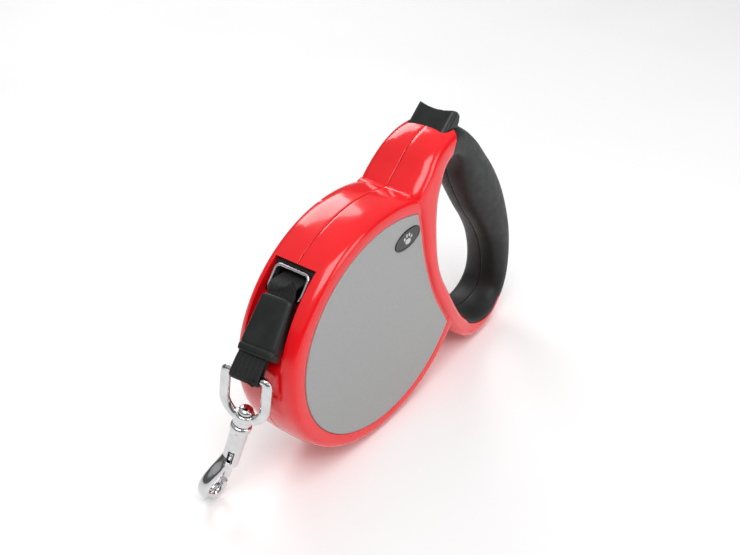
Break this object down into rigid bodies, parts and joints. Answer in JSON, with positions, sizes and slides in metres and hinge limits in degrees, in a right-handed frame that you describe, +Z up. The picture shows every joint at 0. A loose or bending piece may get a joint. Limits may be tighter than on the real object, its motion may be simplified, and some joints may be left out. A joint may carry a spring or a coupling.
{
  "type": "retractable leash",
  "caption": "Retractable tape leash with a hand ring, thumb brake, spring-wound reel, rubber stop block, D-ring and swivel bolt snap.",
  "frame": {"origin": "middle of the base: under the middle of the casing and hand ring, on the surface it stands on", "axes": "+X from the tape outlet towards the hand ring, +Y along the reel axle, +Z up"},
  "size_m": [0.1969, 0.0356, 0.13],
  "materials": {
    "casing_red": "polished moulding",
    "panel_grey": "fine matt texture",
    "grip_black": "soft matt",
    "badge_black": "polished",
    "screw_steel": "plated",
    "reel_white": "natural moulding",
    "cover_dark": "satin",
    "tape_black": "woven nylon",
    "outlet_black": "satin",
    "guide_chrome": "polished",
    "block_black": "satin",
    "ring_chrome": "polished",
    "button_black": "satin",
    "spring_steel": "bright wire"
  },
  "bodies": {
    "casing": {"left_shell": "casing_red", "right_shell": "casing_red", "left_grip": "grip_black", "right_grip": "grip_black", "left_panel": "panel_grey", "right_panel": "panel_grey", "left_badge": "badge_black", "right_badge": "badge_black", "case_screw_1": "screw_steel", "case_screw_2": "screw_steel", "case_screw_3": "screw_steel", "case_screw_4": "screw_steel", "case_screw_5": "screw_steel", "reel_axle": "screw_steel", "outlet_mouthpiece": "outlet_black", "outlet_guide": "guide_chrome"},
    "reel": {"reel": "reel_white", "spring_cover": "cover_dark", "mainspring": "spring_steel", "tape_coil": "tape_black"},
    "button": {"brake_button": "button_black", "button_spring": "spring_steel"},
    "pawl": {"brake_pawl": "reel_white"},
    "tape_end": {"tape_run": "tape_black"},
    "tape_tail": {"tape_tail": "tape_black", "stop_block": "block_black"},
    "ring": {"d_ring": "ring_chrome"},
    "snap": {"swivel_rivet": "ring_chrome", "snap_body": "ring_chrome", "snap_spring": "spring_steel"},
    "bolt": {"snap_bolt": "ring_chrome"}
  },
  "joints": [
    {"name": "reel_spin", "type": "hinge", "parent": "casing", "child": "reel", "pos_m": [-0.03254, 0, 0.05434], "axis": [0, -1, 0], "range_deg": [0, 45], "stiffness_Nm_per_rad": 0.02, "springref_deg": -28.65, "deforming": ["mainspring"]},
    {"name": "tape_pull", "type": "slide", "parent": "casing", "child": "tape_end", "axis": [-0.9991, 0, 0.0427], "range_m": [0, 0.02908]},
    {"name": "button_press", "type": "slide", "parent": "casing", "child": "button", "axis": [-0.7871, 0, -0.6169], "range_m": [0, 0.004], "stiffness_N_per_m": 400, "springref_m": -0.003, "deforming": ["button_spring"]},
    {"name": "pawl_slide", "type": "slide", "parent": "casing", "child": "pawl", "axis": [-0.6053, 0, -0.796], "range_m": [0, 0.004]},
    {"name": "tape_swing", "type": "hinge", "parent": "tape_end", "child": "tape_tail", "pos_m": [-0.06653, 0.0012, 0.09273], "axis": [0, 1, 0], "range_deg": [0, 60]},
    {"name": "ring_swing", "type": "hinge", "parent": "tape_tail", "child": "ring", "pos_m": [-0.09136, 0.0015, 0.06447], "axis": [-0.1952, 0.9738, 0.1168], "range_deg": [-10, 80]},
    {"name": "snap_swivel", "type": "hinge", "parent": "ring", "child": "snap", "pos_m": [-0.09406, 0.0035, 0.04326], "axis": [-0.147, 0.2859, -0.9469], "continuous": true},
    {"name": "bolt_slide", "type": "slide", "parent": "snap", "child": "bolt", "axis": [0.147, -0.2859, 0.9469], "range_m": [0, 0.004], "stiffness_N_per_m": 300, "springref_m": -0.003, "deforming": ["snap_spring"]}
  ],
  "couplings": [
    {"joint": "tape_pull", "follows": "reel_spin", "m_per_rad": 0.0369},
    {"joint": "pawl_slide", "follows": "button_press", "ratio": 1}
  ]
}
